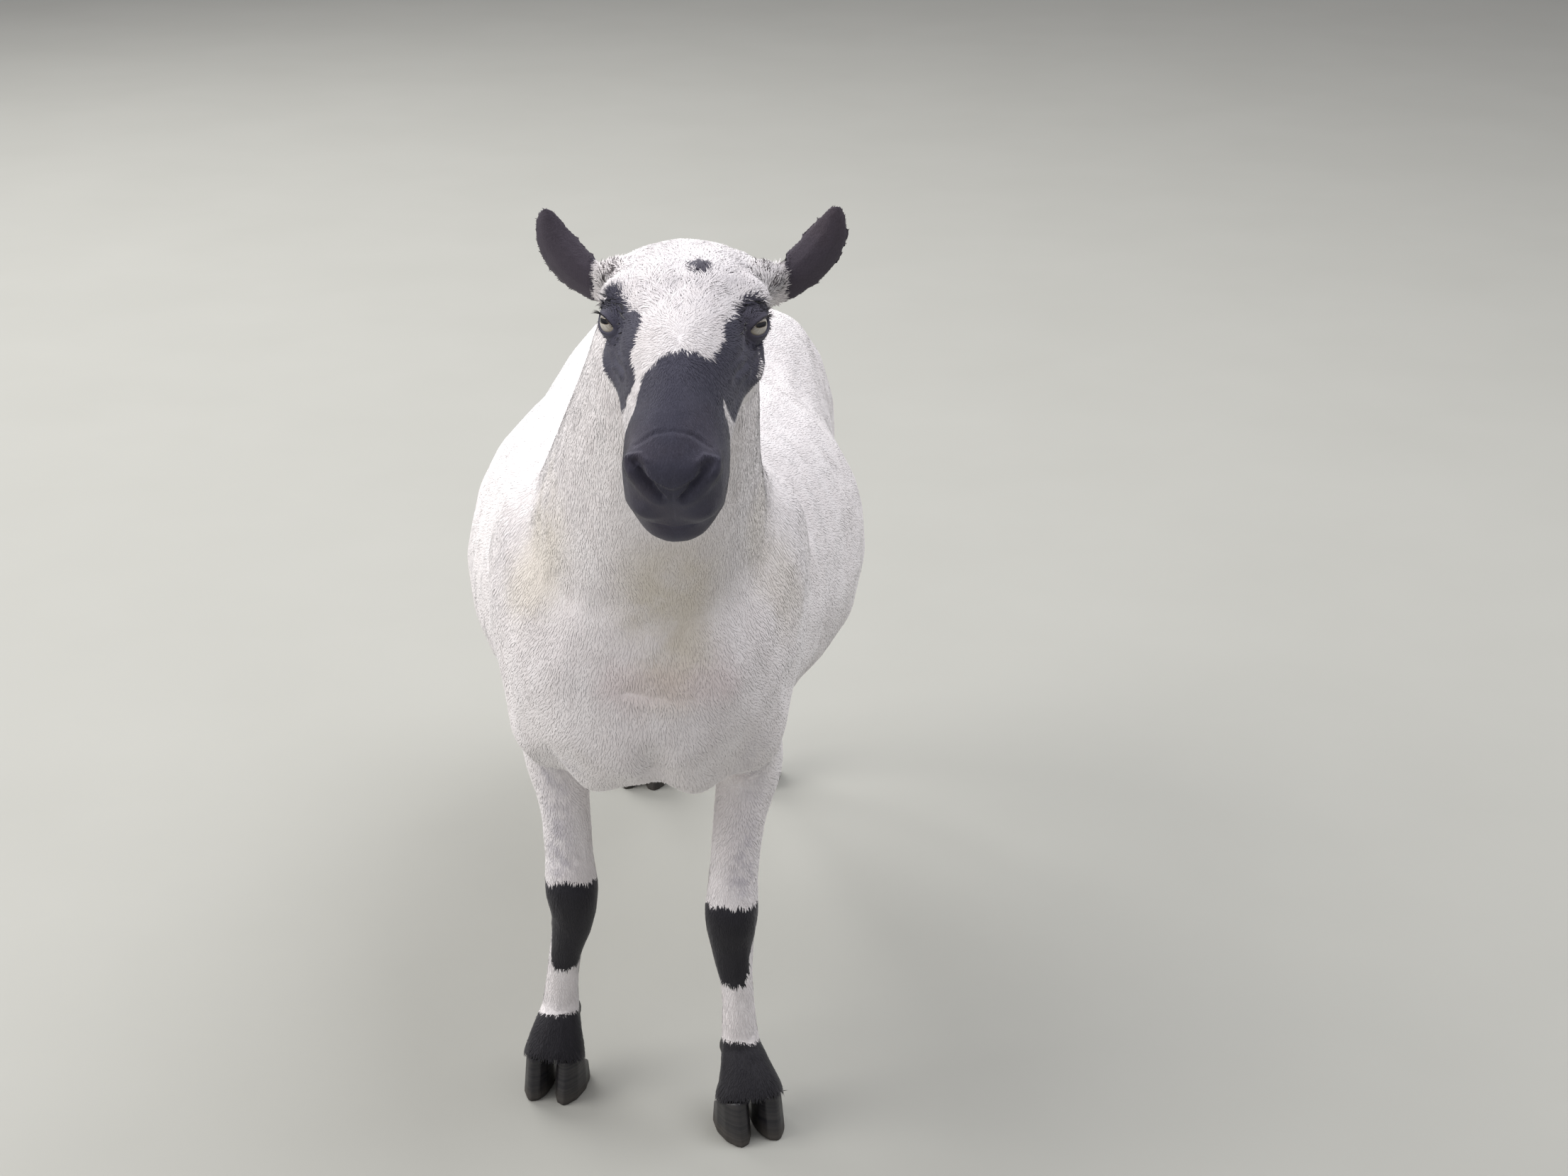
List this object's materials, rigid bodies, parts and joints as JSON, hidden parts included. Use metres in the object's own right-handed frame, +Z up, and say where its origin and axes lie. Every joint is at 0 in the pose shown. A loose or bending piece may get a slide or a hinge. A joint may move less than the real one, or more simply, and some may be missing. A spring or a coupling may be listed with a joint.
{
  "type": "sheep",
  "caption": "Life-size standing ewe, newly shorn: white fleece, black nose, eye patches, ears, knees and feet; a still display model of an upland breed.",
  "frame": {"origin": "on the floor, under the middle of the whole model's box", "axes": "+Z up, the ewe faces -Y, her left side is at +X"},
  "size_m": [0.4108, 1.1632, 0.9418],
  "materials": {
    "fleece": "short shorn wool and short white hair, matt",
    "dark_hair": "short charcoal hair, matt",
    "horn": "dark hoof horn, low sheen",
    "eye": "wet and glossy, pale grey-beige iris with a level slot pupil"
  },
  "bodies": {
    "root": {"head": "fleece", "neck": "fleece", "trunk": "fleece", "tail": "fleece", "fore_leg_left": "fleece", "fore_leg_right": "fleece", "fore_shank_left": "fleece", "fore_shank_right": "fleece", "hind_leg_left": "fleece", "hind_leg_right": "fleece", "hind_shank_left": "fleece", "hind_shank_right": "fleece", "ear_left": "dark_hair", "ear_right": "dark_hair", "eye_left": "eye", "eye_right": "eye", "claw_fore_left_inner": "horn", "claw_fore_left_outer": "horn", "claw_fore_right_inner": "horn", "claw_fore_right_outer": "horn", "claw_hind_left_inner": "horn", "claw_hind_left_outer": "horn", "claw_hind_right_inner": "horn", "claw_hind_right_outer": "horn", "dewclaw_fore_left_inner": "horn", "dewclaw_fore_left_outer": "horn", "dewclaw_fore_right_inner": "horn", "dewclaw_fore_right_outer": "horn", "dewclaw_hind_left_inner": "horn", "dewclaw_hind_left_outer": "horn", "dewclaw_hind_right_inner": "horn", "dewclaw_hind_right_outer": "horn"}
  },
  "joints": []
}
